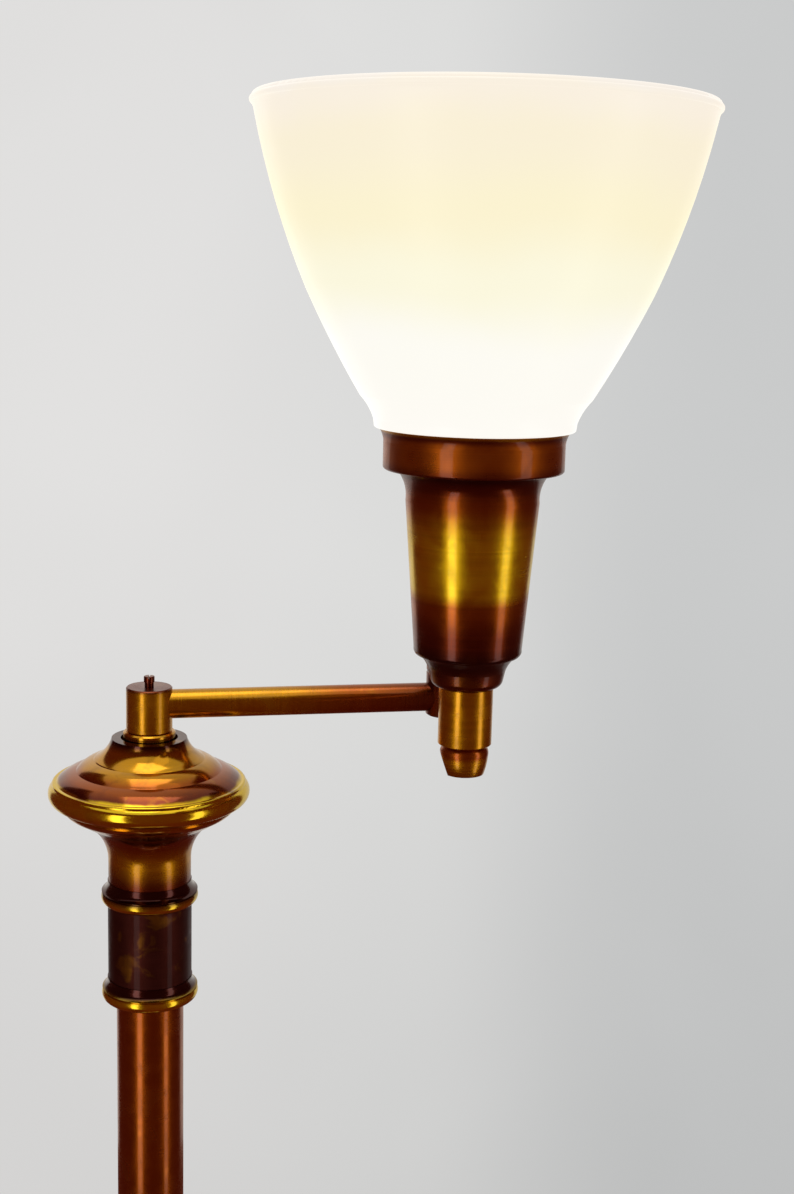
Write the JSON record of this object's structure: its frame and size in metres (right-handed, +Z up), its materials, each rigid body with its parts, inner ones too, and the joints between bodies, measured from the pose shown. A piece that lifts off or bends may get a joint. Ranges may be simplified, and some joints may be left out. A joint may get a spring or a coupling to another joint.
{
  "type": "swing-arm floor lamp",
  "caption": "Floor lamp with a weighted round base, a brass column, a jointed swing arm, a bottom turn knob and an upward opal glass bowl over a lamp socket.",
  "frame": {"origin": "centre of the base's underside, on the floor, on the column's axis", "axes": "+Z up along the column; the lamp is seen from -Y; +X runs from the column towards the elbow side"},
  "size_m": [0.402, 0.3695, 1.4693],
  "materials": {
    "felt": "matte felt",
    "iron": "rough cast",
    "antique_brass": "antiqued and lacquered",
    "polished_brass": "polished and lacquered",
    "dark_brass": "dark oxblood lacquer",
    "steel": "zinc plated",
    "bushing": "moulded",
    "phenolic": "moulded phenolic",
    "porcelain": "glazed",
    "contact_brass": "bright",
    "bulb_cap": "bright",
    "bulb_insulator": "black vitreous",
    "bulb_glass": "frosted, lit",
    "opal_glass": "opal white, lit from inside"
  },
  "bodies": {
    "column": {"felt_pad": "felt", "base_weight": "iron", "base_shell": "antique_brass", "base_washer": "steel", "base_lock_nut": "steel", "cord_bushing": "bushing", "base_neck": "antique_brass", "main_tube": "antique_brass", "threaded_rod": "steel", "lower_ring": "polished_brass", "accent_sleeve": "dark_brass", "upper_ring": "polished_brass", "trumpet_neck": "dark_brass", "saucer_pan": "polished_brass", "column_washer": "steel", "column_nut": "steel", "saucer_dish": "antique_brass", "hub_seat": "polished_brass", "pivot_spindle": "steel", "pivot_screw": "dark_brass"},
    "inner_arm": {"inner_hub_knuckle": "antique_brass", "inner_arm_tube": "antique_brass", "inner_elbow_knuckle": "antique_brass", "elbow_pin": "steel", "elbow_washer": "steel", "elbow_foot_screw": "antique_brass", "elbow_top_screw": "dark_brass"},
    "outer_arm": {"outer_elbow_knuckle": "antique_brass", "outer_arm_tube": "antique_brass", "socket_knuckle": "antique_brass", "socket_nipple": "steel", "socket_bell": "dark_brass", "socket_cup": "antique_brass", "socket_washer": "steel", "socket_nut": "steel", "socket_riser": "steel", "switch_housing": "phenolic", "socket_body": "porcelain", "socket_screw_shell": "contact_brass", "socket_contact": "contact_brass", "shade_holder": "antique_brass"},
    "switch": {"switch_knob": "polished_brass", "switch_shaft": "steel", "knob_set_screw": "steel"},
    "bulb": {"bulb_glass": "bulb_glass", "bulb_cap": "bulb_cap", "bulb_tip": "contact_brass", "bulb_insulator": "bulb_insulator"},
    "bowl": {"glass_diffuser": "opal_glass"}
  },
  "joints": [
    {"name": "inner_arm_swing", "type": "hinge", "parent": "column", "child": "inner_arm", "pos_m": [0, 0, 1.1603], "axis": [0, 0, 1], "range_deg": [-165, 165]},
    {"name": "outer_arm_swing", "type": "hinge", "parent": "inner_arm", "child": "outer_arm", "pos_m": [0.16335, 0.03472, 1.19], "axis": [0, 0, 1], "range_deg": [-64, 266]},
    {"name": "switch_turn", "type": "hinge", "parent": "outer_arm", "child": "switch", "pos_m": [0.16627, -0.13225, 1.172], "axis": [0, 0, 1], "continuous": true},
    {"name": "bulb_unscrew", "type": "slide", "parent": "outer_arm", "child": "bulb", "axis": [0, 0, 1], "range_m": [0, 0.03]},
    {"name": "bowl_lift", "type": "slide", "parent": "outer_arm", "child": "bowl", "axis": [0, 0, 1], "range_m": [0, 0.16]}
  ]
}
